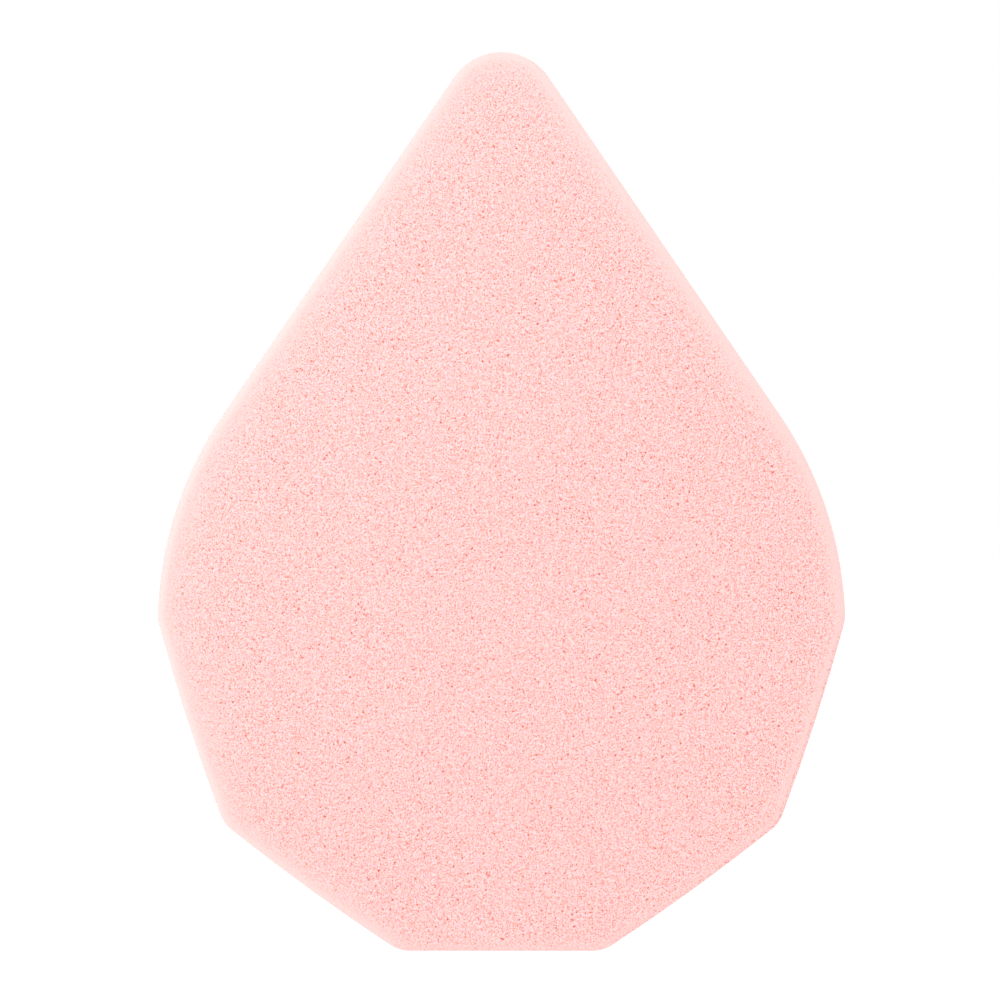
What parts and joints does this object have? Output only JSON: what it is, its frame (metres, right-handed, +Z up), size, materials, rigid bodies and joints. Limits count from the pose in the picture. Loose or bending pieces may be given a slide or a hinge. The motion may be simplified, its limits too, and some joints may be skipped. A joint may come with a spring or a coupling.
{
  "type": "makeup sponge",
  "caption": "Thick flat drop of fine open-cell foam with a rounded tip, straight flanks, a faceted lower end and a flat foot that it stands on.",
  "frame": {"origin": "centre of the flat foot that the sponge stands on", "axes": "+Z up from the foot to the rounded tip, +X to the right when the front face is looked at, -Y out of the front face"},
  "size_m": [0.0506, 0.022, 0.066],
  "materials": {
    "foam": "matt open-cell foam"
  },
  "bodies": {
    "root": {"sponge_body": "foam"}
  },
  "joints": []
}
